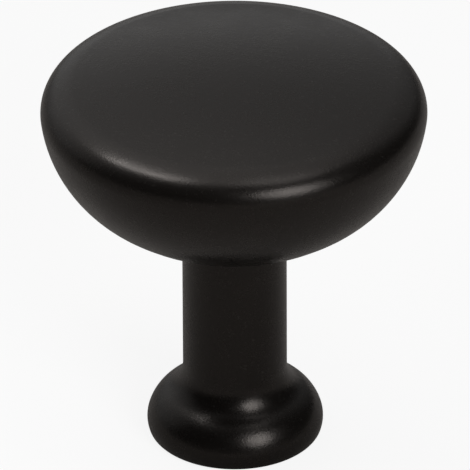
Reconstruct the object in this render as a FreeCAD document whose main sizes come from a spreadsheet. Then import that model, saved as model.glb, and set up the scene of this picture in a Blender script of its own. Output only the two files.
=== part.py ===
import FreeCAD, Part
import math
import os

import Sketcher

# One-piece turned-form cabinet knob, in millimetres. +Z runs up the axis from the flat
# base of the foot, which is pressed against the door, to the crowned face of the head.

os.makedirs("parts", exist_ok=True)
doc = FreeCAD.newDocument("cabinet_knob")


# Driving dimensions

SIZES = {
    # Head
    "head_radius": 16.0,
    "face_height": 34.43,
    "face_crown_radius": 72.0,
    "brow_radius": 5.0,
    "rim_round": 2.4,
    "rim_sweep_up": 60.0,
    "rim_turn_under": 7.0,
    "bowl_radius": 11.1,
    "bowl_sweep_end": 52.5,
    "underside_radius": 22.0,
    "neck_fillet": 0.8,
    # Stem
    "stem_radius": 4.35,
    # Foot
    "foot_radius": 7.37,
    "foot_widest_height": 1.1,
    "foot_side_round": 2.4,
    "foot_side_sweep": 16.0,
    "foot_shoulder_round": 3.7,
    "foot_throat_fillet": 3.0,
    "foot_edge_round": 0.5,
    # Blind hole tapped for the screw that comes through the door
    "thread_major_diameter": 4.0,
    "thread_pitch": 0.7,
    "hole_depth": 15.0,
    "hole_mouth_chamfer": 0.4,
    "drill_point_angle": 118.0,
}

sheet = doc.addObject("Spreadsheet::Sheet", "Sizes")
for row, (alias, value) in enumerate(SIZES.items(), start=1):
    sheet.set("A" + str(row), alias)
    sheet.set("B" + str(row), str(value))
    sheet.setAlias("B" + str(row), alias)
doc.recompute()


def size(alias):
    return float(sheet.get(alias))


def cell(alias):
    return "Sizes." + alias


# Outline of half the section: x is the radius and y the height above the base.
# Each arc is given by its centre, its radius and the two angles it runs between,
# and meets its neighbours in a tangent.

def along(centre, radius, degrees):
    angle = math.radians(degrees)
    return (centre[0] + radius * math.cos(angle), centre[1] + radius * math.sin(angle))


def angle_to(start, end):
    return math.degrees(math.atan2(end[1] - start[1], end[0] - start[0]))


def height_of_tangent_arc(centre, reach, x, side):
    """Height of a centre at x that lies at the distance reach from another centre."""
    return centre[1] + side * math.sqrt(reach ** 2 - (x - centre[0]) ** 2)


# The foot: edge round, side, shoulder and the hollow throat that runs into the stem
side_centre = (size("foot_radius") - size("foot_side_round"), size("foot_widest_height"))
shoulder_centre = along(
    side_centre,
    size("foot_side_round") - size("foot_shoulder_round"),
    size("foot_side_sweep"),
)
edge_y = size("foot_edge_round")
edge_reach = size("foot_side_round") - size("foot_edge_round")
edge_x = side_centre[0] + math.sqrt(edge_reach ** 2 - (side_centre[1] - edge_y) ** 2)
edge_centre = (edge_x, edge_y)
throat_x = size("stem_radius") + size("foot_throat_fillet")
throat_reach = size("foot_shoulder_round") + size("foot_throat_fillet")
throat_centre = (throat_x, height_of_tangent_arc(shoulder_centre, throat_reach, throat_x, 1))

# The head: crowned face, the brow that turns it down into the soft rim, bowl, flatter
# underside and the fillet at the neck
crown_centre = (0.0, size("face_height") - size("face_crown_radius"))
rim_x = size("head_radius") - size("rim_round")
brow_shift = along(
    (0, 0), size("brow_radius") - size("rim_round"), size("rim_sweep_up")
)
brow_x = rim_x - brow_shift[0]
brow_reach = size("face_crown_radius") - size("brow_radius")
brow_centre = (brow_x, height_of_tangent_arc(crown_centre, brow_reach, brow_x, 1))
rim_centre = (rim_x, brow_centre[1] + brow_shift[1])
bowl_centre = along(
    rim_centre, size("rim_round") - size("bowl_radius"), -size("rim_turn_under")
)
underside_centre = along(
    bowl_centre, size("bowl_radius") - size("underside_radius"), -size("bowl_sweep_end")
)
neck_x = size("stem_radius") + size("neck_fillet")
neck_reach = size("underside_radius") + size("neck_fillet")
neck_centre = (neck_x, height_of_tangent_arc(underside_centre, neck_reach, neck_x, -1))

edge_end = angle_to(side_centre, edge_centre)
throat_start = angle_to(shoulder_centre, throat_centre)
neck_end = angle_to(underside_centre, neck_centre)
brow_end = angle_to(crown_centre, brow_centre)

# Name: centre, name of the radius, first angle, last angle, always anticlockwise, so
# going up the outline the two hollow arcs run from their last angle to their first.
ARCS = {
    "edge": (edge_centre, "foot_edge_round", -90, edge_end),
    "side": (side_centre, "foot_side_round", edge_end, size("foot_side_sweep")),
    "shoulder": (shoulder_centre, "foot_shoulder_round", size("foot_side_sweep"), throat_start),
    "throat": (throat_centre, "foot_throat_fillet", 180, 180 + throat_start),
    "neck": (neck_centre, "neck_fillet", 180 + neck_end, 180),
    "underside": (underside_centre, "underside_radius", neck_end, -size("bowl_sweep_end")),
    "bowl": (bowl_centre, "bowl_radius", -size("bowl_sweep_end"), -size("rim_turn_under")),
    "rim": (rim_centre, "rim_round", -size("rim_turn_under"), size("rim_sweep_up")),
    "brow": (brow_centre, "brow_radius", size("rim_sweep_up"), brow_end),
    "crown": (crown_centre, "face_crown_radius", brow_end, 90),
}
HOLLOW = ("throat", "neck")


# Sketch of half the section, on the upright plane through the axis

def origin_plane(body, role):
    for feature in body.Origin.OriginFeatures:
        if feature.Role == role:
            return feature
    raise RuntimeError("the body has no plane named " + role)


def flat_sketch(body, name, role):
    sketch = body.newObject("Sketcher::SketchObject", name)
    sketch.AttachmentSupport = [(origin_plane(body, role), "")]
    sketch.MapMode = "FlatFace"
    return sketch


def vector(point):
    return FreeCAD.Vector(point[0], point[1], 0)


def add_line(sketch, start, end):
    return sketch.addGeometry(Part.LineSegment(vector(start), vector(end)), False)


def add_arc(sketch, centre, radius, first, last):
    circle = Part.Circle(vector(centre), FreeCAD.Vector(0, 0, 1), radius)
    arc = Part.ArcOfCircle(circle, math.radians(first), math.radians(last))
    return sketch.addGeometry(arc, False)


def drive(sketch, name, expression, *constraint):
    index = sketch.addConstraint(Sketcher.Constraint(*constraint))
    sketch.renameConstraint(index, name)
    sketch.setExpression("Constraints." + name, expression)


knob = doc.addObject("PartDesign::Body", "knob")
knob.Label = "knob"
section = flat_sketch(knob, "half_section", "XZ_Plane")

START, END, CENTRE = range(1, 4)
ORIGIN = (-1, START)
UPRIGHT_AXIS = (-2,)

curve = {}
curve["base"] = add_line(section, (0, 0), (edge_x, 0))
curve["stem"] = add_line(
    section, (size("stem_radius"), throat_centre[1]), (size("stem_radius"), neck_centre[1])
)
curve["axis"] = add_line(section, (0, size("face_height")), (0, 0))
for name, (centre, radius, first, last) in ARCS.items():
    curve[name] = add_arc(section, centre, size(radius), first, last)

# Round the outline from the base to the face, each joint a smooth tangent
OUTLINE = (
    "base", "edge", "side", "shoulder", "throat", "stem", "neck", "underside", "bowl",
    "rim", "brow", "crown",
)
for below, above in zip(OUTLINE, OUTLINE[1:]):
    leaving = START if below in HOLLOW else END
    arriving = END if above in HOLLOW else START
    section.addConstraint(
        Sketcher.Constraint("Tangent", curve[below], leaving, curve[above], arriving)
    )
section.addConstraint(Sketcher.Constraint("Coincident", curve["base"], START, *ORIGIN))
section.addConstraint(Sketcher.Constraint("Coincident", curve["axis"], END, *ORIGIN))
section.addConstraint(Sketcher.Constraint("Coincident", curve["crown"], END, curve["axis"], START))
section.addConstraint(Sketcher.Constraint("Horizontal", curve["base"]))
section.addConstraint(Sketcher.Constraint("Vertical", curve["stem"]))
section.addConstraint(Sketcher.Constraint("Vertical", curve["axis"]))
section.addConstraint(
    Sketcher.Constraint("PointOnObject", curve["crown"], CENTRE, *UPRIGHT_AXIS)
)

for name, (centre, radius, first, last) in ARCS.items():
    drive(section, name + "_radius", cell(radius), "Radius", curve[name], size(radius))
drive(
    section, "stem_reach", cell("stem_radius"),
    "DistanceX", *ORIGIN, curve["stem"], START, size("stem_radius"),
)
drive(
    section, "foot_reach", cell("foot_radius") + " - " + cell("foot_side_round"),
    "DistanceX", *ORIGIN, curve["side"], CENTRE, side_centre[0],
)
drive(
    section, "foot_widest", cell("foot_widest_height"),
    "DistanceY", *ORIGIN, curve["side"], CENTRE, side_centre[1],
)
drive(
    section, "head_reach", cell("head_radius") + " - " + cell("rim_round"),
    "DistanceX", *ORIGIN, curve["rim"], CENTRE, rim_centre[0],
)
drive(
    section, "face_top", cell("face_height"),
    "DistanceY", *ORIGIN, curve["crown"], END, size("face_height"),
)


def drive_sweep(name, radius, angle, lower, upper):
    """Fixes where an arc ends by the rise between its centre and that end."""
    rise = size(radius) * math.sin(math.radians(size(angle)))
    expression = cell(radius) + " * sin(" + cell(angle) + " * 1 deg)"
    drive(section, name, expression, "DistanceY", *lower, *upper, rise)


drive_sweep(
    "side_sweep", "foot_side_round", "foot_side_sweep",
    (curve["side"], CENTRE), (curve["side"], END),
)
drive_sweep(
    "rim_sweep_below", "rim_round", "rim_turn_under",
    (curve["rim"], START), (curve["rim"], CENTRE),
)
drive_sweep(
    "rim_sweep_above", "rim_round", "rim_sweep_up",
    (curve["rim"], CENTRE), (curve["rim"], END),
)
drive_sweep(
    "bowl_sweep", "bowl_radius", "bowl_sweep_end",
    (curve["bowl"], START), (curve["bowl"], CENTRE),
)

turned_form = knob.newObject("PartDesign::Revolution", "turned_form")
turned_form.Profile = section
turned_form.ReferenceAxis = (section, ["V_Axis"])
turned_form.Angle = 360
doc.recompute()
solid_volume = turned_form.Shape.Volume


# Screw hole: tapping size, blind, with a chamfered mouth and the drill's pointed end

hole_sketch = flat_sketch(knob, "screw_hole_place", "XY_Plane")
drill_radius = (size("thread_major_diameter") - size("thread_pitch")) / 2
DRILL_DIAMETER = cell("thread_major_diameter") + " - " + cell("thread_pitch")
hole_circle = hole_sketch.addGeometry(
    Part.Circle(FreeCAD.Vector(0, 0, 0), FreeCAD.Vector(0, 0, 1), drill_radius), False
)
hole_sketch.addConstraint(Sketcher.Constraint("Coincident", hole_circle, CENTRE, *ORIGIN))
drive(
    hole_sketch, "drill_radius", "(" + DRILL_DIAMETER + ") / 2",
    "Radius", hole_circle, drill_radius,
)
doc.recompute()

screw_hole = knob.newObject("PartDesign::Hole", "screw_hole")
screw_hole.Profile = hole_sketch
doc.recompute()
screw_hole.Reversed = True
screw_hole.DepthType = "Dimension"
screw_hole.DrillPoint = "Angled"
screw_hole.HoleCutType = "Countersink"
screw_hole.setExpression("Diameter", "(" + DRILL_DIAMETER + ") * 1 mm")
screw_hole.setExpression("Depth", cell("hole_depth") + " * 1 mm")
screw_hole.setExpression("DrillPointAngle", cell("drill_point_angle") + " * 1 deg")
screw_hole.setExpression(
    "HoleCutDiameter",
    "(" + DRILL_DIAMETER + " + 2 * " + cell("hole_mouth_chamfer") + ") * 1 mm",
)
screw_hole.HoleCutCountersinkAngle = 90
doc.recompute()


# Checks, and the file of the solid

def require_good(item):
    for word in ("Invalid", "Error"):
        if word in item.State:
            raise RuntimeError(item.Name + " failed: " + word)


for item in doc.Objects:
    require_good(item)
if section.solve() != 0:
    raise RuntimeError("the half section can't be solved")
shape = knob.Shape
if shape.isNull() or not shape.isValid() or len(shape.Solids) != 1:
    raise RuntimeError("the knob isn't one valid solid")
if shape.Volume >= solid_volume:
    raise RuntimeError("the screw hole cut nothing")
shape.exportStep("parts/" + knob.Label + ".step")
print("knob: volume mm3", round(shape.Volume, 2), "box", shape.BoundBox)
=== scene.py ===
import math

import bpy
from bpy.props import FloatProperty, FloatVectorProperty, IntProperty, PointerProperty
from mathutils import Matrix, Vector


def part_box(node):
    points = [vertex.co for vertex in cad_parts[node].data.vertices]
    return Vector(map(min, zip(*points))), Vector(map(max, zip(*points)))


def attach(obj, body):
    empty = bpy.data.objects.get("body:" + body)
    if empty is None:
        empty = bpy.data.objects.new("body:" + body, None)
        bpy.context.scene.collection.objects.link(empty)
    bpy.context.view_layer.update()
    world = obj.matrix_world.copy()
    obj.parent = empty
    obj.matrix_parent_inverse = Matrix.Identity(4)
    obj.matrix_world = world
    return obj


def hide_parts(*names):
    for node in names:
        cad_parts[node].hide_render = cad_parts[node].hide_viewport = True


bl_info = {
    "name": "Turned cabinet knob",
    "version": (1, 0, 0),
    "blender": (4, 5, 0),
    "location": "View3D > Sidebar > Knob",
    "description": "Models a black coated cabinet knob, its finish and its studio",
    "category": "Add Mesh",
}

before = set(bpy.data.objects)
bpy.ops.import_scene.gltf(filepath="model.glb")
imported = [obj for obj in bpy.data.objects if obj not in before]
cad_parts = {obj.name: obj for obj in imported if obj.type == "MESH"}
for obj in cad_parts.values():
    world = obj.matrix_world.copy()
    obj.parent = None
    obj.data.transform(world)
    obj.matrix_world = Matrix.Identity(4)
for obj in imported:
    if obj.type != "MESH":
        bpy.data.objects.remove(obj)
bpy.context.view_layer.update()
_, SOLID_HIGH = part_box("knob")

MM = 0.001
SAME_PLACE = 0.001 * MM
IMAGE_WIDTH = 470
SENSOR_WIDTH = 36.0
LAMP_VALUES = "Azimuth and elevation in degrees, width and distance in metres, level"
GLOW_VALUES = "Azimuth, elevation and half width in degrees, level"


# Sizes and colours that a user would change

class KnobOutline(bpy.types.PropertyGroup):
    """Section of the knob, turned round the upright axis"""

    head_radius: FloatProperty(
        name="Head radius", description="Widest reach of the head",
        default=SOLID_HIGH.x, unit="LENGTH",
    )
    face_height: FloatProperty(
        name="Face height", description="Top of the crowned face above the base",
        default=SOLID_HIGH.z, unit="LENGTH",
    )
    face_crown_radius: FloatProperty(
        name="Face crown", description="Radius of the face's gentle crown",
        default=72 * MM, unit="LENGTH",
    )
    brow_radius: FloatProperty(
        name="Brow", description="Radius of the turn from the crown into the rim",
        default=5 * MM, unit="LENGTH",
    )
    rim_round: FloatProperty(
        name="Rim round", description="Radius of the soft rim round the face",
        default=2.4 * MM, unit="LENGTH",
    )
    rim_sweep_up: FloatProperty(
        name="Rim end", description="Angle at which the rim runs into the brow",
        default=math.radians(60), subtype="ANGLE",
    )
    rim_turn_under: FloatProperty(
        name="Rim turn under", description="How far the rim's arc runs on below the widest line",
        default=math.radians(7), subtype="ANGLE",
    )
    bowl_radius: FloatProperty(
        name="Bowl radius", description="Radius of the bowl-shaped flank below the rim",
        default=11.1 * MM, unit="LENGTH",
    )
    bowl_sweep_end: FloatProperty(
        name="Bowl end", description="Angle at which the bowl runs into the flatter underside",
        default=math.radians(52.5), subtype="ANGLE",
    )
    underside_radius: FloatProperty(
        name="Underside radius", description="Radius of the flatter underside of the head",
        default=22 * MM, unit="LENGTH",
    )
    neck_fillet: FloatProperty(
        name="Neck fillet", description="Fillet between the underside and the stem",
        default=0.8 * MM, unit="LENGTH",
    )
    stem_radius: FloatProperty(
        name="Stem radius", description="Radius of the straight stem",
        default=4.35 * MM, unit="LENGTH",
    )
    foot_radius: FloatProperty(
        name="Foot radius", description="Widest reach of the foot",
        default=7.37 * MM, unit="LENGTH",
    )
    foot_widest_height: FloatProperty(
        name="Foot's widest height", description="Height of the foot's widest line",
        default=1.1 * MM, unit="LENGTH",
    )
    foot_side_round: FloatProperty(
        name="Foot side", description="Radius of the foot's side",
        default=2.4 * MM, unit="LENGTH",
    )
    foot_side_sweep: FloatProperty(
        name="Foot side end", description="Angle at which the side runs into the shoulder",
        default=math.radians(16), subtype="ANGLE",
    )
    foot_shoulder_round: FloatProperty(
        name="Foot shoulder", description="Radius of the foot's rounded shoulder",
        default=3.7 * MM, unit="LENGTH",
    )
    foot_throat_fillet: FloatProperty(
        name="Foot throat", description="Hollow fillet that carries the shoulder into the stem",
        default=3.0 * MM, unit="LENGTH",
    )
    foot_edge_round: FloatProperty(
        name="Foot edge", description="Small round at the edge of the base",
        default=0.5 * MM, unit="LENGTH",
    )
    turn_steps: IntProperty(
        name="Turn steps", description="Faces round the knob", default=192, min=24,
    )
    arc_step: FloatProperty(
        name="Arc step", description="Largest turn of the outline from one ring to the next",
        default=math.radians(3), subtype="ANGLE",
    )
    crown_rings: IntProperty(
        name="Crown rings", description="Rings on the crowned face", default=16, min=4,
    )


class ScrewThread(bpy.types.PropertyGroup):
    """Blind hole in the base with its metric thread"""

    major_radius: FloatProperty(
        name="Major radius", description="Radius at the bottom of the thread's grooves",
        default=2.0 * MM, unit="LENGTH",
    )
    pitch: FloatProperty(
        name="Pitch", description="Rise of the thread in one turn",
        default=0.7 * MM, unit="LENGTH",
    )
    drill_radius: FloatProperty(
        name="Drill radius", description="Radius of the hole before it was tapped",
        default=1.65 * MM, unit="LENGTH",
    )
    mouth_chamfer: FloatProperty(
        name="Mouth chamfer", description="Chamfer at the mouth of the hole",
        default=0.4 * MM, unit="LENGTH",
    )
    tapped_depth: FloatProperty(
        name="Tapped depth", description="Depth at which the thread has run out",
        default=12.6 * MM, unit="LENGTH",
    )
    hole_depth: FloatProperty(
        name="Hole depth", description="Depth of the straight wall",
        default=15.0 * MM, unit="LENGTH",
    )
    point_angle: FloatProperty(
        name="Drill point", description="Full angle of the drill's pointed end",
        default=math.radians(118), subtype="ANGLE",
    )
    rings_per_turn: IntProperty(
        name="Rings a turn", description="Rings of faces in one pitch of the thread",
        default=12, min=6,
    )


class KnobFinish(bpy.types.PropertyGroup):
    """The matte black coat and the bare metal of the tapped hole"""

    coat_colour: FloatVectorProperty(
        name="Coat colour", description="Warm near-black of the sprayed coat",
        default=(0.0044, 0.0038, 0.0034), subtype="COLOR", size=3, min=0, max=1,
    )
    coat_pale: FloatVectorProperty(
        name="Coat's paler grains", description="Colour where the coat lies a little thinner",
        default=(0.0070, 0.0060, 0.0054), subtype="COLOR", size=3, min=0, max=1,
    )
    coat_speck: FloatVectorProperty(
        name="Coat's specks", description="Colour of the sparse fine specks of the spray",
        default=(0.016, 0.0145, 0.0135), subtype="COLOR", size=3, min=0, max=1,
    )
    coat_roughness: FloatProperty(
        name="Coat roughness", description="Mean roughness of the satin coat",
        default=0.29, min=0, max=1,
    )
    coat_gloss: FloatProperty(
        name="Coat gloss", description="Strength of the coat's reflections",
        default=0.33, min=0, max=1,
    )
    coat_tint: FloatVectorProperty(
        name="Coat tint", description="Warm tint of the coat's reflections",
        default=(1.0, 0.92, 0.87), subtype="COLOR", size=3, min=0, max=1,
    )
    coat_grain: FloatProperty(
        name="Coat grain", description="Size of the fine grain of the spray",
        default=0.2 * MM, unit="LENGTH",
    )
    coat_relief: FloatProperty(
        name="Coat relief", description="Height of the fine grain",
        default=0.018 * MM, precision=6, unit="LENGTH",
    )
    coat_drift: FloatProperty(
        name="Coat drift", description="Size of the slow drifts of the coat's sheen",
        default=3 * MM, unit="LENGTH",
    )
    face_dulling: FloatProperty(
        name="Face dulling", description="Share of its gloss that the flat face loses at a low angle",
        default=0.95, min=0, max=1,
    )
    face_low_roughness: FloatProperty(
        name="Face's low-angle roughness", description="Roughness of the flat face at a low angle",
        default=0.62, min=0, max=1,
    )
    metal_colour: FloatVectorProperty(
        name="Bare metal", description="Cut zinc alloy on the wall of the hole",
        default=(0.42, 0.41, 0.39), subtype="COLOR", size=3, min=0, max=1,
    )
    metal_shade: FloatVectorProperty(
        name="Bare metal's shade", description="Duller patches on the cut metal",
        default=(0.27, 0.26, 0.245), subtype="COLOR", size=3, min=0, max=1,
    )
    metal_roughness: FloatProperty(
        name="Metal roughness", description="Mean roughness of the cut metal",
        default=0.4, min=0, max=1,
    )


class Studio(bpy.types.PropertyGroup):
    """Floor, lamps and surroundings"""

    floor_radius: FloatProperty(
        name="Floor radius", description="Reach of the floor's disc",
        default=0.6, unit="LENGTH",
    )
    floor_gap: FloatProperty(
        name="Floor gap", description="How far the floor lies under the base",
        default=0.05 * MM, unit="LENGTH",
    )
    floor_opening: FloatProperty(
        name="Floor opening", description="Radius of the opening that the foot covers",
        default=6.7 * MM, unit="LENGTH",
    )
    floor_white: FloatVectorProperty(
        name="Floor white", description="Colour of the floor to the camera",
        default=(0.95, 0.95, 0.95), subtype="COLOR", size=3, min=0, max=1,
    )
    floor_return: FloatVectorProperty(
        name="Floor return", description="Colour in which the floor returns light to the knob",
        default=(0.425, 0.40, 0.38), subtype="COLOR", size=3, min=0, max=1,
    )
    floor_lift: FloatProperty(
        name="Floor lift", description="How far the camera sees the floor's shade lifted to white",
        default=0.88, min=0, max=1,
    )
    right_lamp: FloatVectorProperty(
        name="Right lamp", description=LAMP_VALUES, default=(33, 28, 0.27, 0.5, 0.48), size=5,
    )
    left_lamp: FloatVectorProperty(
        name="Left lamp", description=LAMP_VALUES, default=(276, 58, 0.016, 0.067, 0.115), size=5,
    )
    high_lamp: FloatVectorProperty(
        name="High lamp", description=LAMP_VALUES, default=(303, 64, 0.016, 0.068, 0.12), size=5,
    )
    top_lamp: FloatVectorProperty(
        name="Top lamp", description=LAMP_VALUES, default=(60, 72, 0.5, 1.0, 0.1), size=5,
    )
    overhead_glow: FloatVectorProperty(
        name="Overhead glow", description=GLOW_VALUES, default=(210, 80, 45, 0.67), size=4,
    )
    back_glow: FloatVectorProperty(
        name="Back glow", description=GLOW_VALUES, default=(180, 50, 65, 0.34), size=4,
    )
    left_glow: FloatVectorProperty(
        name="Left glow", description=GLOW_VALUES, default=(235, 28, 45, 0.42), size=4,
    )
    low_glow: FloatVectorProperty(
        name="Low glow", description=GLOW_VALUES, default=(185, 5, 25, 0.42), size=4,
    )
    low_level: FloatProperty(
        name="Low level", description="Level of the light from below the floor",
        default=0.8, min=0,
    )


class Viewpoint(bpy.types.PropertyGroup):
    """The camera's place: far off, with a long lens, looking down on the knob"""

    elevation: FloatProperty(
        name="Elevation", description="Angle of the camera above the horizon",
        default=math.radians(31.0), subtype="ANGLE",
    )
    distance: FloatProperty(
        name="Distance", description="From the camera to the point it looks at",
        default=1.0, unit="LENGTH",
    )
    target_height: FloatProperty(
        name="Target height", description="Height of the point it looks at",
        default=18.66 * MM, unit="LENGTH",
    )
    target_offset: FloatProperty(
        name="Target offset", description="Sideways place of the point it looks at",
        default=0.0485 * MM, unit="LENGTH",
    )
    roll: FloatProperty(
        name="Roll", description="Turn of the camera round its line of sight",
        default=math.radians(0.252), subtype="ANGLE",
    )
    pixels_per_metre: FloatProperty(
        name="Image scale", description="Pixels of the image to a metre at the target",
        default=12029.0, min=1,
    )


# The outline: points (radius, height) from the tip of the drilled hole round to the face

def along(centre, radius, angle):
    return Vector((centre[0] + radius * math.cos(angle), centre[1] + radius * math.sin(angle)))


def angle_to(start, end):
    return math.atan2(end[1] - start[1], end[0] - start[0])


def centre_at(x, neighbour, reach, side):
    """Centre of an arc at radius x that is tangent to a neighbour, above it or below it."""
    return Vector((x, neighbour[1] + side * math.sqrt(reach ** 2 - (x - neighbour[0]) ** 2)))


def arc(centre, radius, first, last, steps):
    return [along(centre, radius, first + (last - first) * k / steps) for k in range(steps + 1)]


def stepped(centre, radius, first, last, arc_step):
    """An arc in even steps, none of them larger than arc_step."""
    return arc(centre, radius, first, last, math.ceil(abs(last - first) / arc_step))


def hole_outline(thread):
    """From the tip of the drilled hole down its wall to the chamfered mouth."""
    tip_rise = thread.drill_radius / math.tan(thread.point_angle / 2)
    ring_gap = thread.pitch / thread.rings_per_turn
    rings = round(thread.tapped_depth / ring_gap)
    points = [
        Vector((0, thread.hole_depth + tip_rise)),
        Vector((thread.drill_radius, thread.hole_depth)),
    ]
    for ring in range(rings, -1, -1):
        height = ring * ring_gap
        mouth = max(0, thread.mouth_chamfer - height)
        points.append(Vector((thread.drill_radius + mouth, height)))
    return points


def foot_outline(size, arc_step):
    """From the edge of the flat base over the side and shoulder and up the hollow throat."""
    side = Vector((size.foot_radius - size.foot_side_round, size.foot_widest_height))
    shoulder = along(side, size.foot_side_round - size.foot_shoulder_round, size.foot_side_sweep)
    edge_height = size.foot_edge_round
    edge_reach = size.foot_side_round - size.foot_edge_round
    edge_x = side.x + math.sqrt(edge_reach ** 2 - (side.y - edge_height) ** 2)
    edge = Vector((edge_x, edge_height))
    throat = centre_at(
        size.stem_radius + size.foot_throat_fillet, shoulder,
        size.foot_shoulder_round + size.foot_throat_fillet, 1,
    )
    edge_end = angle_to(side, edge)
    throat_start = angle_to(shoulder, throat)
    return (
        stepped(edge, size.foot_edge_round, -math.pi / 2, edge_end, arc_step)
        + stepped(side, size.foot_side_round, edge_end, size.foot_side_sweep, arc_step)
        + stepped(
            shoulder, size.foot_shoulder_round, size.foot_side_sweep, throat_start, arc_step
        )
        + stepped(
            throat, size.foot_throat_fillet, math.pi + throat_start, math.pi, arc_step
        )
    )


def head_outline(size, arc_step):
    """From the neck over the underside, the bowl and the rim to the middle of the face."""
    crown = Vector((0, size.face_height - size.face_crown_radius))
    rim_x = size.head_radius - size.rim_round
    brow_x = rim_x + (size.rim_round - size.brow_radius) * math.cos(size.rim_sweep_up)
    brow = centre_at(brow_x, crown, size.face_crown_radius - size.brow_radius, 1)
    rim = along(brow, size.brow_radius - size.rim_round, size.rim_sweep_up)
    bowl = along(rim, size.rim_round - size.bowl_radius, -size.rim_turn_under)
    underside = along(bowl, size.bowl_radius - size.underside_radius, -size.bowl_sweep_end)
    neck = centre_at(
        size.stem_radius + size.neck_fillet, underside,
        size.underside_radius + size.neck_fillet, -1,
    )
    neck_end = angle_to(underside, neck)
    brow_end = angle_to(crown, brow)
    return (
        stepped(neck, size.neck_fillet, math.pi, math.pi + neck_end, arc_step)
        + stepped(
            underside, size.underside_radius, neck_end, -size.bowl_sweep_end, arc_step
        )
        + stepped(
            bowl, size.bowl_radius, -size.bowl_sweep_end, -size.rim_turn_under, arc_step
        )
        + stepped(rim, size.rim_round, -size.rim_turn_under, size.rim_sweep_up, arc_step)
        + stepped(brow, size.brow_radius, size.rim_sweep_up, brow_end, arc_step)
        + arc(crown, size.face_crown_radius, brow_end, math.pi / 2, size.crown_rings)
    )


def whole_outline(size, thread):
    """The knob's outline without points that lie on one another."""
    points = hole_outline(thread)
    points += foot_outline(size, size.arc_step)
    points += head_outline(size, size.arc_step)
    points[-1].x = 0
    kept = points[:1]
    for point in points[1:]:
        if (point - kept[-1]).length > SAME_PLACE:
            kept.append(point)
    return kept


# The knob's mesh: the outline is drawn by extruding one vertex, then turned

def start_from_a_vertex(name, place):
    """A new object in edit mode whose mesh is one selected vertex."""
    bpy.ops.object.select_all(action="DESELECT")
    bpy.ops.mesh.primitive_plane_add(size=MM, location=(0, 0, 0))
    piece = bpy.context.active_object
    piece.name = name
    piece.data.name = name
    bpy.ops.object.mode_set(mode="EDIT")
    bpy.ops.mesh.select_all(action="SELECT")
    bpy.ops.mesh.merge(type="CENTER")
    bpy.ops.transform.translate(value=place)
    return piece


def draw_outline(points):
    """Extrudes the selected vertex from point to point of the outline."""
    for start, end in zip(points, points[1:]):
        step = (end.x - start.x, 0, end.y - start.y)
        bpy.ops.mesh.extrude_region_move(TRANSFORM_OT_translate={"value": step})


def turn(steps):
    """Spins the drawn outline round the upright axis into a closed mesh."""
    bpy.ops.mesh.select_all(action="SELECT")
    bpy.ops.mesh.spin(steps=steps, angle=2 * math.pi, center=(0, 0, 0), axis=(0, 0, 1))
    bpy.ops.mesh.select_all(action="SELECT")
    bpy.ops.mesh.remove_doubles(threshold=SAME_PLACE)
    bpy.ops.mesh.normals_make_consistent(inside=False)
    bpy.ops.object.mode_set(mode="OBJECT")


def in_hole(place, thread):
    """Whether a place on the surface is on the wall, point or mouth of the screw hole."""
    mouth_radius = thread.drill_radius + thread.mouth_chamfer
    above_the_point = 1.2 * thread.hole_depth
    reach = math.hypot(place.x, place.y)
    return place.z < above_the_point and reach < mouth_radius + SAME_PLACE


def groove_depth(place, thread):
    """How far the thread's groove is cut into the wall, by height and by place round it."""
    flank_slope = math.tan(math.radians(60))
    root_half_width = thread.pitch / 16
    turn_share = math.atan2(place.y, place.x) / (2 * math.pi)
    phase = (place.z / thread.pitch - turn_share) % 1
    from_root = abs(phase - 0.5) * thread.pitch
    full_depth = thread.major_radius - thread.drill_radius
    depth = full_depth - flank_slope * max(0, from_root - root_half_width)
    runout = (thread.tapped_depth - place.z) / thread.pitch
    return max(0, depth) * min(1, max(0, runout))


def cut_thread(piece, thread):
    """Moves the wall of the hole out into the groove of a right-hand thread."""
    inside_the_wall = 0.5 * thread.drill_radius
    for vertex in piece.data.vertices:
        place = vertex.co
        reach = math.hypot(place.x, place.y)
        if reach < inside_the_wall or place.z > thread.tapped_depth:
            continue
        if not in_hole(place, thread):
            continue
        cut = max(reach, thread.drill_radius + groove_depth(place, thread))
        place.x *= cut / reach
        place.y *= cut / reach


def smooth_shade(piece, crease):
    """Smooth shading, apart from edges that are sharper than the crease."""
    bpy.ops.object.select_all(action="DESELECT")
    piece.select_set(True)
    bpy.context.view_layer.objects.active = piece
    bpy.ops.object.shade_smooth_by_angle(angle=crease)


# Materials

def new_node(tree, kind, place, **settings):
    node = tree.nodes.new(kind)
    node.location = place
    for key, value in settings.items():
        setattr(node, key, value)
    return node


def feed(tree, node, socket, source):
    """Links a socket to its source, or sets it where the source is a plain value."""
    if isinstance(source, bpy.types.NodeSocket):
        tree.links.new(source, node.inputs[socket])
    else:
        node.inputs[socket].default_value = source


def mixed(tree, factor, first, second, place):
    """Value between two others by a mask."""
    mix = new_node(tree, "ShaderNodeMix", place)
    feed(tree, mix, "Factor", factor)
    feed(tree, mix, "A", first)
    feed(tree, mix, "B", second)
    return mix.outputs["Result"]


def tinted(tree, factor, first, second, place):
    """Colour between two others by a mask."""
    mix = new_node(tree, "ShaderNodeMix", place, data_type="RGBA")
    feed(tree, mix, "Factor", factor)
    feed(tree, mix, "A", first if isinstance(first, bpy.types.NodeSocket) else (*first, 1))
    feed(tree, mix, "B", (*second, 1))
    return mix.outputs["Result"]


def ranged(tree, value, low, high, place):
    """A mask from 0 to 1 spread between two values."""
    spread = new_node(tree, "ShaderNodeMapRange", place)
    feed(tree, spread, "Value", value)
    feed(tree, spread, "To Min", low)
    feed(tree, spread, "To Max", high)
    return spread.outputs["Result"]


def rising(tree, value, start, end, place, top=1.0):
    """A mask that rises smoothly from 0 to its top between two values."""
    rise = new_node(tree, "ShaderNodeMapRange", place, interpolation_type="SMOOTHSTEP")
    feed(tree, rise, "Value", value)
    feed(tree, rise, "From Min", start)
    feed(tree, rise, "From Max", end)
    feed(tree, rise, "To Max", top)
    return rise.outputs["Result"]


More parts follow.
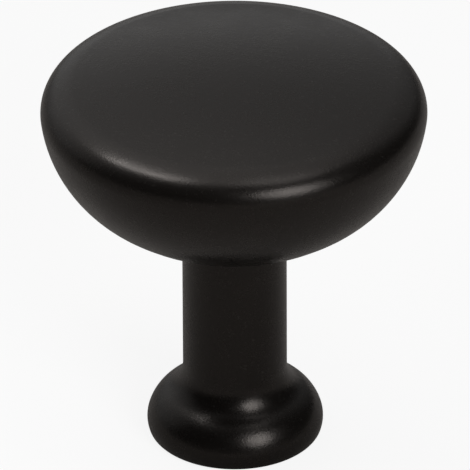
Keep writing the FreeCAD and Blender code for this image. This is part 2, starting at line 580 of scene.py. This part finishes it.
def worked_out(tree, operation, first, second, place):
    """Result of one step of arithmetic on two values."""
    step = new_node(tree, "ShaderNodeMath", place, operation=operation)
    feed(tree, step, 0, first)
    feed(tree, step, 1, second)
    return step.outputs[0]


def sprayed_grain_group():
    """Node group: fine grain, slower drifts and sparse specks of a sprayed or cut surface."""
    group = bpy.data.node_groups.new("sprayed_grain", "ShaderNodeTree")
    for name, low, high, value in (
        ("Grain size", 0, 1, 0.0001),
        ("Drift size", 0, 1, 0.001),
        ("Drift share", 0, 1, 0.3),
    ):
        socket = group.interface.new_socket(name, in_out="INPUT", socket_type="NodeSocketFloat")
        socket.default_value = value
        socket.min_value = low
        socket.max_value = high
    for name in ("Height", "Mottle", "Specks"):
        group.interface.new_socket(name, in_out="OUTPUT", socket_type="NodeSocketFloat")
    inlet = new_node(group, "NodeGroupInput", (-900, 0))
    outlet = new_node(group, "NodeGroupOutput", (700, 0))
    places = new_node(group, "ShaderNodeTexCoord", (-900, 300))

    def noise(size, share, detail, roughness, place):
        scale = worked_out(group, "DIVIDE", share, size, (place[0] - 200, place[1]))
        texture = new_node(group, "ShaderNodeTexNoise", place)
        feed(group, texture, "Vector", places.outputs["Object"])
        feed(group, texture, "Scale", scale)
        feed(group, texture, "Detail", detail)
        feed(group, texture, "Roughness", roughness)
        return texture.outputs["Fac"]

    fine = noise(inlet.outputs["Grain size"], 1.0, 2.0, 0.6, (-500, 300))
    coarse = noise(inlet.outputs["Grain size"], 0.3, 2.0, 0.5, (-500, 0))
    drift = noise(inlet.outputs["Drift size"], 1.0, 3.0, 0.5, (-500, -300))
    coarse_share = 0.35
    height = mixed(group, coarse_share, fine, coarse, (-200, 200))
    mottle = mixed(group, inlet.outputs["Drift share"], height, drift, (0, 0))
    evened = new_node(group, "ShaderNodeMapRange", (250, 0))
    feed(group, evened, "Value", mottle)
    feed(group, evened, "From Min", 0.3)
    feed(group, evened, "From Max", 0.7)
    specks = rising(group, fine, 0.6, 0.72, (250, 300))
    feed(group, outlet, "Height", height)
    feed(group, outlet, "Mottle", evened.outputs["Result"])
    feed(group, outlet, "Specks", specks)
    return group


def grained_material(name, grain_group, grain_size, drift_size, drift_share):
    """A new material with its shader and the shared grain placed in it."""
    material = bpy.data.materials.new(name)
    material.use_nodes = True
    tree = material.node_tree
    shader = tree.nodes["Principled BSDF"]
    grain = new_node(tree, "ShaderNodeGroup", (-900, 100))
    grain.node_tree = grain_group
    feed(tree, grain, "Grain size", grain_size)
    feed(tree, grain, "Drift size", drift_size)
    feed(tree, grain, "Drift share", drift_share)
    return material, tree, shader, grain


def low_on_face(tree):
    """A mask for the flat face of the knob where it is seen at a low angle.

    Its first limits are of the normal's upward share, which is 1 at the middle of the face,
    and its second ones of Layer Weight's facing, which is 0 head-on and 1 edge-on.
    """
    places = new_node(tree, "ShaderNodeTexCoord", (-1300, -300))
    parts = new_node(tree, "ShaderNodeSeparateXYZ", (-1100, -300))
    feed(tree, parts, 0, places.outputs["Normal"])
    view = new_node(tree, "ShaderNodeLayerWeight", (-1100, -500))
    on_face = rising(tree, parts.outputs["Z"], 0.972, 0.988, (-900, -300))
    low = rising(tree, view.outputs["Facing"], 0.6, 0.78, (-900, -500))
    return worked_out(tree, "MULTIPLY", on_face, low, (-700, -400))


def drifting_roughness(tree, mottle, mean, duller, glossier):
    """Roughness that drifts by the mottle between a duller and a glossier value."""
    return ranged(tree, mottle, mean + duller, mean - glossier, (-350, 0))


def roughened(tree, shader, height, relief):
    """Bump of the fine grain."""
    bump = new_node(tree, "ShaderNodeBump", (-250, -300))
    feed(tree, bump, "Height", height)
    feed(tree, bump, "Distance", relief)
    feed(tree, shader, "Normal", bump.outputs["Normal"])


def black_coat(finish, grain_group):
    """Matte black sprayed coat: fine grain, pale specks and slow drifts of its sheen."""
    material, tree, shader, grain = grained_material(
        "matte_black_coat", grain_group,
        grain_size=finish.coat_grain, drift_size=finish.coat_drift, drift_share=0.35,
    )
    mottle = grain.outputs["Mottle"]
    specks = grain.outputs["Specks"]
    drifting = tinted(tree, mottle, finish.coat_colour, finish.coat_pale, (-550, 250))
    colour = tinted(tree, specks, drifting, finish.coat_speck, (-350, 250))
    feed(tree, shader, "Base Color", colour)
    low = low_on_face(tree)
    rough = drifting_roughness(
        tree, mottle, finish.coat_roughness, duller=0.06, glossier=0.06,
    )
    roughness = mixed(tree, low, rough, finish.face_low_roughness, (-200, 0))
    feed(tree, shader, "Roughness", roughness)
    dull_gloss = finish.coat_gloss * (1 - finish.face_dulling)
    gloss = ranged(tree, low, finish.coat_gloss, dull_gloss, (-500, -400))
    feed(tree, shader, "Specular IOR Level", gloss)
    feed(tree, shader, "Specular Tint", (*finish.coat_tint, 1))
    roughened(tree, shader, grain.outputs["Height"], finish.coat_relief)
    return material


def cut_metal(finish, grain_group):
    """Bare zinc alloy as the drill and the tap leave it."""
    material, tree, shader, grain = grained_material(
        "cut_zinc", grain_group, grain_size=0.3 * MM, drift_size=2 * MM, drift_share=0.5,
    )
    mottle = grain.outputs["Mottle"]
    colour = tinted(tree, mottle, finish.metal_shade, finish.metal_colour, (-350, 250))
    feed(tree, shader, "Base Color", colour)
    feed(tree, shader, "Metallic", 1.0)
    rough = drifting_roughness(
        tree, mottle, finish.metal_roughness, duller=0.08, glossier=0.06,
    )
    feed(tree, shader, "Roughness", rough)
    roughened(tree, shader, grain.outputs["Height"], relief=0.006 * MM)
    return material


def finish_surfaces(piece, thread, finish):
    """The coat goes all over, and the wall of the hole is bare metal."""
    grain_group = sprayed_grain_group()
    piece.data.materials.append(black_coat(finish, grain_group))
    piece.data.materials.append(cut_metal(finish, grain_group))
    for face in piece.data.polygons:
        face.material_index = 1 if in_hole(face.center, thread) else 0


# Studio

def floor_material(studio):
    """Pale floor. The camera sees its shade lifted, and from below it is clear."""
    material = bpy.data.materials.new("pale_floor")
    material.use_nodes = True
    tree = material.node_tree
    tree.nodes.clear()
    outlet = new_node(tree, "ShaderNodeOutputMaterial", (800, 0))
    path = new_node(tree, "ShaderNodeLightPath", (-600, 300))
    side = new_node(tree, "ShaderNodeNewGeometry", (-200, 300))
    pale = new_node(tree, "ShaderNodeBsdfDiffuse", (-200, 0))
    places = new_node(tree, "ShaderNodeTexCoord", (-900, 0))
    drift = new_node(tree, "ShaderNodeTexNoise", (-700, 0))
    feed(tree, drift, "Vector", places.outputs["Object"])
    patches_per_metre = 6.0
    feed(tree, drift, "Scale", patches_per_metre)
    tone = tinted(
        tree, path.outputs["Is Camera Ray"], studio.floor_return, studio.floor_white, (-650, 150),
    )
    tone_drift = 0.02
    drifting = ranged(tree, drift.outputs["Fac"], 1 - tone_drift, 1 + tone_drift, (-500, 0))
    drifted = new_node(tree, "ShaderNodeVectorMath", (-350, 0), operation="SCALE")
    feed(tree, drifted, 0, tone)
    feed(tree, drifted, "Scale", drifting)
    feed(tree, pale, "Color", drifted.outputs["Vector"])
    lift = new_node(tree, "ShaderNodeEmission", (-200, -200))
    feed(tree, lift, "Color", (1, 1, 1, 1))
    feed(tree, lift, "Strength", 1.0)
    to_camera = path.outputs["Is Camera Ray"]
    seen = worked_out(tree, "MULTIPLY", to_camera, studio.floor_lift, (-200, 150))
    shown = new_node(tree, "ShaderNodeMixShader", (200, 0))
    feed(tree, shown, 0, seen)
    feed(tree, shown, 1, pale.outputs[0])
    feed(tree, shown, 2, lift.outputs[0])
    clear = new_node(tree, "ShaderNodeBsdfTransparent", (200, -200))
    one_sided = new_node(tree, "ShaderNodeMixShader", (500, 0))
    feed(tree, one_sided, 0, side.outputs["Backfacing"])
    feed(tree, one_sided, 1, shown.outputs[0])
    feed(tree, one_sided, 2, clear.outputs[0])
    feed(tree, outlet, "Surface", one_sided.outputs[0])
    return material


def lay_floor(studio):
    """A wide flat ring; the foot covers its opening, which lets light reach the base."""
    bpy.ops.object.select_all(action="DESELECT")
    bpy.ops.mesh.primitive_circle_add(
        vertices=96, radius=studio.floor_opening, location=(0, 0, -studio.floor_gap),
    )
    floor = bpy.context.active_object
    floor.name = "studio_floor"
    bpy.ops.object.mode_set(mode="EDIT")
    bpy.ops.mesh.select_all(action="SELECT")
    bpy.ops.mesh.extrude_edges_move()
    spread = studio.floor_radius / studio.floor_opening
    bpy.ops.transform.resize(value=(spread, spread, 1), center_override=(0, 0, 0))
    bpy.ops.mesh.select_all(action="SELECT")
    bpy.ops.mesh.normals_make_consistent(inside=False)
    bpy.ops.object.mode_set(mode="OBJECT")
    if floor.data.polygons[0].normal.z < 0:
        floor.data.flip_normals()
    floor.data.materials.append(floor_material(studio))


def outward(azimuth, elevation):
    """Direction from the knob; azimuth 0 is towards the camera and 90 to its right."""
    a = math.radians(azimuth)
    e = math.radians(elevation)
    return Vector((math.sin(a) * math.cos(e), -math.cos(a) * math.cos(e), math.sin(e)))


def hang_lamp(name, settings, middle):
    """A round soft lamp. Its level is the share of full white that it gives a facing card."""
    azimuth, elevation, width, distance, level = settings
    data = bpy.data.lights.new(name, "AREA")
    data.shape = "DISK"
    data.size = width
    data.energy = level * math.pi ** 2 * distance ** 2
    lamp = bpy.data.objects.new(name, data)
    lamp.visible_camera = False
    direction = outward(azimuth, elevation)
    lamp.location = middle + distance * direction
    lamp.rotation_mode = "QUATERNION"
    lamp.rotation_quaternion = direction.to_track_quat("Z", "Y")
    bpy.context.collection.objects.link(lamp)


def glow(tree, towards, settings, place):
    """Level of a soft round glow on the walls, strongest at its middle."""
    azimuth, elevation, half_width, level = settings
    nearness = new_node(tree, "ShaderNodeVectorMath", place, operation="DOT_PRODUCT")
    feed(tree, nearness, 0, towards)
    feed(tree, nearness, 1, outward(azimuth, elevation))
    edge = math.cos(math.radians(half_width))
    beside = (place[0] + 200, place[1])
    return rising(tree, nearness.outputs["Value"], edge, 1.0, beside, top=level)


def studio_world(studio):
    """White to the camera; to the knob a dim room with soft glows behind it and overhead."""
    world = bpy.data.worlds.new("studio_world")
    world.use_nodes = True
    tree = world.node_tree
    tree.nodes.clear()
    outlet = new_node(tree, "ShaderNodeOutputWorld", (900, 0))
    places = new_node(tree, "ShaderNodeTexCoord", (-900, 0))
    towards = places.outputs["Generated"]
    overhead = glow(tree, towards, studio.overhead_glow, (-600, 400))
    back = glow(tree, towards, studio.back_glow, (-600, 250))
    left = glow(tree, towards, studio.left_glow, (-600, 100))
    low = glow(tree, towards, studio.low_glow, (-600, -50))
    high_walls = worked_out(tree, "ADD", overhead, back, (-200, 300))
    low_walls = worked_out(tree, "ADD", left, low, (-200, 100))
    walls = worked_out(tree, "ADD", high_walls, low_walls, (-50, 200))
    parts = new_node(tree, "ShaderNodeSeparateXYZ", (-600, -300))
    feed(tree, parts, 0, towards)
    just_below = -0.02
    well_below = -0.3
    below = rising(tree, parts.outputs["Z"], just_below, well_below, (-200, -200))
    level = mixed(tree, below, walls, studio.low_level, (100, 0))
    room = new_node(tree, "ShaderNodeBackground", (300, 0))
    feed(tree, room, "Strength", level)
    feed(tree, room, "Color", (1, 1, 1, 1))
    white = new_node(tree, "ShaderNodeBackground", (300, -200))
    feed(tree, white, "Color", (1, 1, 1, 1))
    feed(tree, white, "Strength", 1.0)
    path = new_node(tree, "ShaderNodeLightPath", (300, 400))
    seen = new_node(tree, "ShaderNodeMixShader", (600, 0))
    feed(tree, seen, 0, path.outputs["Is Camera Ray"])
    feed(tree, seen, 1, room.outputs[0])
    feed(tree, seen, 2, white.outputs[0])
    feed(tree, outlet, "Surface", seen.outputs[0])
    return world


def place_camera(scene, viewpoint):
    """Far off with a long lens, as nearly parallel as the photograph shows."""
    elevation = viewpoint.elevation
    back = Vector((0, -math.cos(elevation), math.sin(elevation)))
    target = Vector((viewpoint.target_offset, 0, viewpoint.target_height))
    data = bpy.data.cameras.new("camera")
    data.sensor_width = SENSOR_WIDTH
    data.lens = viewpoint.pixels_per_metre * viewpoint.distance / IMAGE_WIDTH * SENSOR_WIDTH
    data.clip_start = 0.1
    data.clip_end = 10
    camera = bpy.data.objects.new("camera", data)
    bpy.context.collection.objects.link(camera)
    turned = (-back).to_track_quat("-Z", "Y").to_matrix().to_4x4()
    rolled = turned @ Matrix.Rotation(-viewpoint.roll, 4, "Z")
    camera.matrix_world = Matrix.Translation(target + viewpoint.distance * back) @ rolled
    scene.camera = camera


class KNOB_OT_turned_body(bpy.types.Operator):
    """Turns the knob from its outline and taps its screw hole"""

    bl_idname = "knob.turned_body"
    bl_label = "Turn the knob"

    def execute(self, context):
        size = context.scene.knob_outline
        thread = context.scene.knob_thread
        points = whole_outline(size, thread)
        piece = start_from_a_vertex("turned_knob", (points[0].x, 0, points[0].y))
        draw_outline(points)
        turn(size.turn_steps)
        finish_surfaces(piece, thread, context.scene.knob_finish)
        cut_thread(piece, thread)
        smooth_shade(piece, crease=math.radians(35))
        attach(piece, "root")
        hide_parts("knob")
        return {"FINISHED"}


class STAGE_OT_studio(bpy.types.Operator):
    """Lays the pale floor, hangs the soft lamps and sets up the camera"""

    bl_idname = "stage.studio"
    bl_label = "Set up the studio"

    def execute(self, context):
        studio = context.scene.knob_studio
        middle = Vector((0, 0, context.scene.knob_outline.face_height / 2))
        lay_floor(studio)
        for name in ("right_lamp", "left_lamp", "high_lamp", "top_lamp"):
            hang_lamp(name, getattr(studio, name), middle)
        context.scene.world = studio_world(studio)
        place_camera(context.scene, context.scene.knob_viewpoint)
        context.scene.view_settings.view_transform = "Standard"
        return {"FINISHED"}


class KNOB_PT_maker(bpy.types.Panel):
    """Sizes, finish and studio of the knob"""

    bl_idname = "KNOB_PT_maker"
    bl_label = "Cabinet knob"
    bl_space_type = "VIEW_3D"
    bl_region_type = "UI"
    bl_category = "Knob"

    def draw(self, context):
        for name in SETTINGS:
            box = self.layout.box()
            settings = getattr(context.scene, name)
            box.label(text=settings.bl_rna.description)
            for key in settings.__annotations__:
                box.prop(settings, key)
        for operator in OPERATORS:
            self.layout.operator(operator.bl_idname)


SETTINGS = {
    "knob_outline": KnobOutline,
    "knob_thread": ScrewThread,
    "knob_finish": KnobFinish,
    "knob_studio": Studio,
    "knob_viewpoint": Viewpoint,
}
OPERATORS = (KNOB_OT_turned_body, STAGE_OT_studio)


def register():
    for name, settings in SETTINGS.items():
        bpy.utils.register_class(settings)
        setattr(bpy.types.Scene, name, PointerProperty(type=settings))
    for operator in OPERATORS:
        bpy.utils.register_class(operator)
    bpy.utils.register_class(KNOB_PT_maker)


def unregister():
    bpy.utils.unregister_class(KNOB_PT_maker)
    for operator in reversed(OPERATORS):
        bpy.utils.unregister_class(operator)
    for name, settings in reversed(SETTINGS.items()):
        delattr(bpy.types.Scene, name)
        bpy.utils.unregister_class(settings)


def main():
    register()
    bpy.ops.knob.turned_body()
    bpy.ops.stage.studio()


if __name__ == "__main__":
    main()
